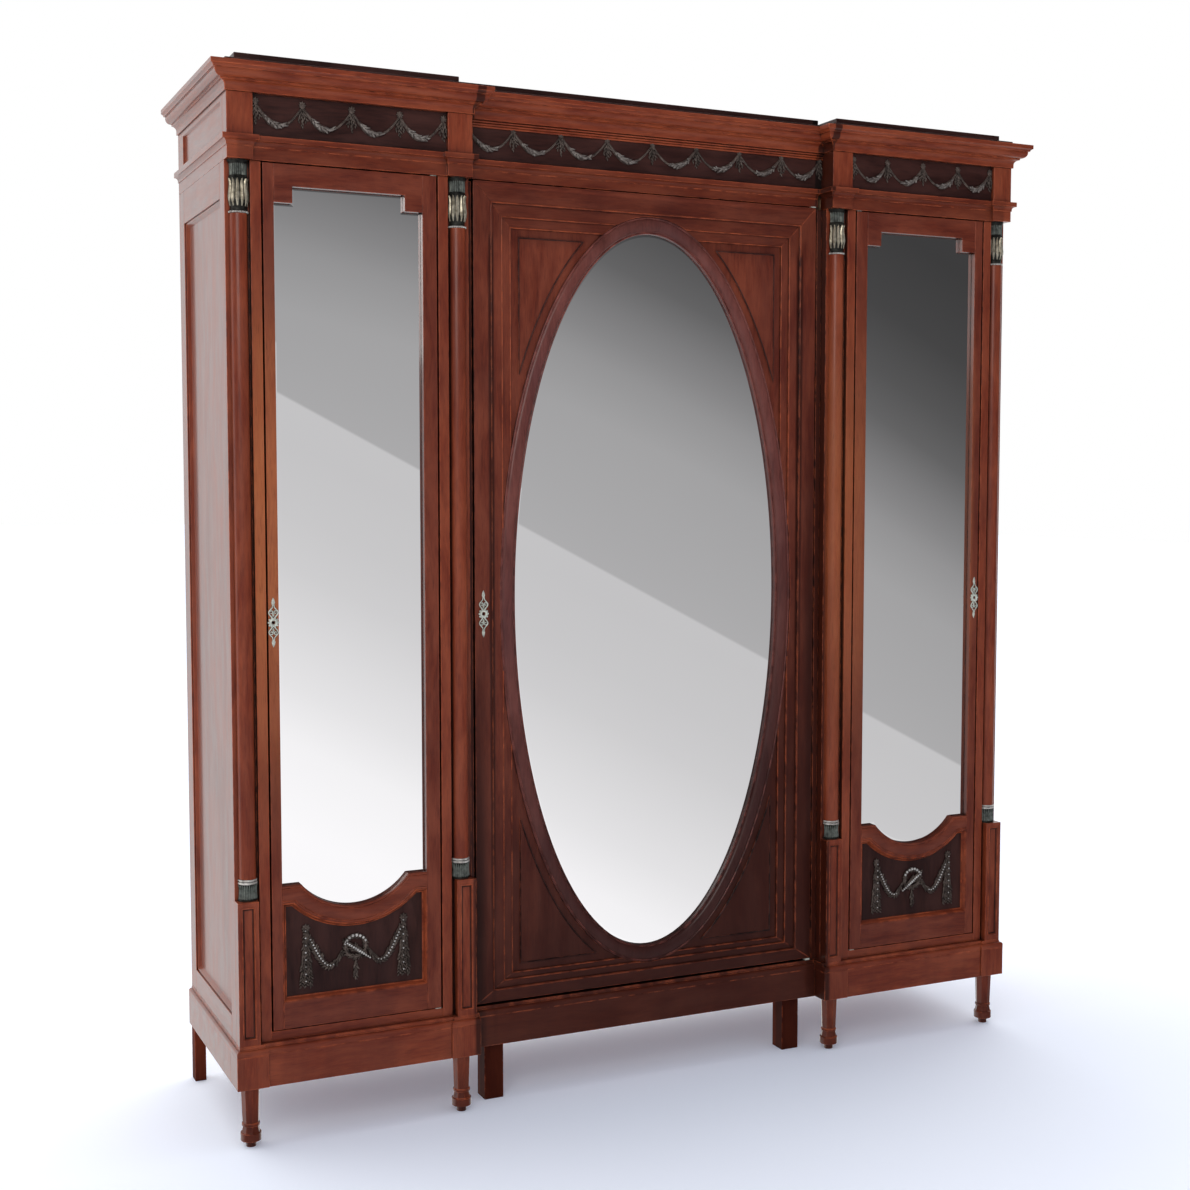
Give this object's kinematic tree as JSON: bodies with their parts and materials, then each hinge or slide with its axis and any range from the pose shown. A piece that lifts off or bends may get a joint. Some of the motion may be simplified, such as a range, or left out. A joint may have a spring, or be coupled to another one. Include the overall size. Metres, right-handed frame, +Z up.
{
  "type": "armoire",
  "caption": "Tall mahogany armoire with a recessed centre section, mirrored doors, an oval centre mirror, half columns, a carved frieze and interior shelves.",
  "frame": {"origin": "on the floor, in the middle of the whole piece, cornice included", "axes": "+Z up, -Y out of the doors, +X towards the right door"},
  "size_m": [2.238, 0.576, 2.481],
  "materials": {
    "mahogany": "glossy varnish",
    "door_mahogany": "glossy varnish",
    "dark_mahogany": "satin varnish",
    "poplar": "matt",
    "bronze": "aged, gilt worn",
    "brass": "satin",
    "mirror": "polished"
  },
  "bodies": {
    "carcass": {"front_legs": "mahogany", "centre_legs": "mahogany", "back_legs": "mahogany", "plinth_blocks": "mahogany", "plinth_rails": "mahogany", "base_boards": "mahogany", "door_sills": "mahogany", "corner_posts": "mahogany", "centre_jambs": "mahogany", "pedestals": "mahogany", "columns": "mahogany", "back_stiles": "mahogany", "side_rails": "mahogany", "side_panels": "mahogany", "architrave_fronts": "mahogany", "architrave_sides": "mahogany", "frieze_blocks": "mahogany", "cornice_fronts": "mahogany", "cornice_returns": "mahogany", "frieze_panels": "dark_mahogany", "top_caps": "dark_mahogany", "partitions": "poplar", "back_panels": "poplar", "ceiling_boards": "poplar", "side_shelves": "poplar", "hat_shelf": "poplar", "capitals": "bronze", "column_bases": "bronze", "pivot_plates": "brass", "hanging_rail": "brass", "rail_sockets": "brass"},
    "left_door": {"left_door_stiles": "door_mahogany", "left_door_rails": "door_mahogany", "left_door_panel": "dark_mahogany", "left_mirror": "mirror", "left_mirror_board": "poplar", "left_garland": "bronze", "left_escutcheon": "brass", "left_lock_case": "brass"},
    "right_door": {"right_door_stiles": "door_mahogany", "right_door_rails": "door_mahogany", "right_door_panel": "dark_mahogany", "right_mirror": "mirror", "right_mirror_board": "poplar", "right_garland": "bronze", "right_escutcheon": "brass", "right_lock_case": "brass"},
    "centre_door": {"centre_door_stiles": "door_mahogany", "centre_door_rails": "door_mahogany", "centre_spandrels": "door_mahogany", "oval_rim": "door_mahogany", "oval_mirror": "mirror", "centre_mirror_board": "poplar", "centre_escutcheon": "brass", "centre_lock_case": "brass"},
    "left_bolt": {"left_lock_bolt": "brass"},
    "right_bolt": {"right_lock_bolt": "brass"},
    "centre_bolt": {"centre_lock_bolt": "brass"}
  },
  "joints": [
    {"name": "left_door_hinge", "type": "hinge", "parent": "carcass", "child": "left_door", "pos_m": [-0.593, -0.2245, 1.2555], "axis": [0, 0, 1], "range_deg": [0, 100]},
    {"name": "right_door_hinge", "type": "hinge", "parent": "carcass", "child": "right_door", "pos_m": [0.593, -0.2245, 1.2555], "axis": [0, 0, -1], "range_deg": [0, 100]},
    {"name": "centre_door_hinge", "type": "hinge", "parent": "carcass", "child": "centre_door", "pos_m": [0.4735, -0.1895, 1.2495], "axis": [0, 0, 1], "range_deg": [0, 90]},
    {"name": "left_lock", "type": "slide", "parent": "left_door", "child": "left_bolt", "axis": [-1, 0, 0], "range_m": [0, 0.012]},
    {"name": "right_lock", "type": "slide", "parent": "right_door", "child": "right_bolt", "axis": [1, 0, 0], "range_m": [0, 0.012]},
    {"name": "centre_lock", "type": "slide", "parent": "centre_door", "child": "centre_bolt", "axis": [-1, 0, 0], "range_m": [0, 0.012]}
  ]
}
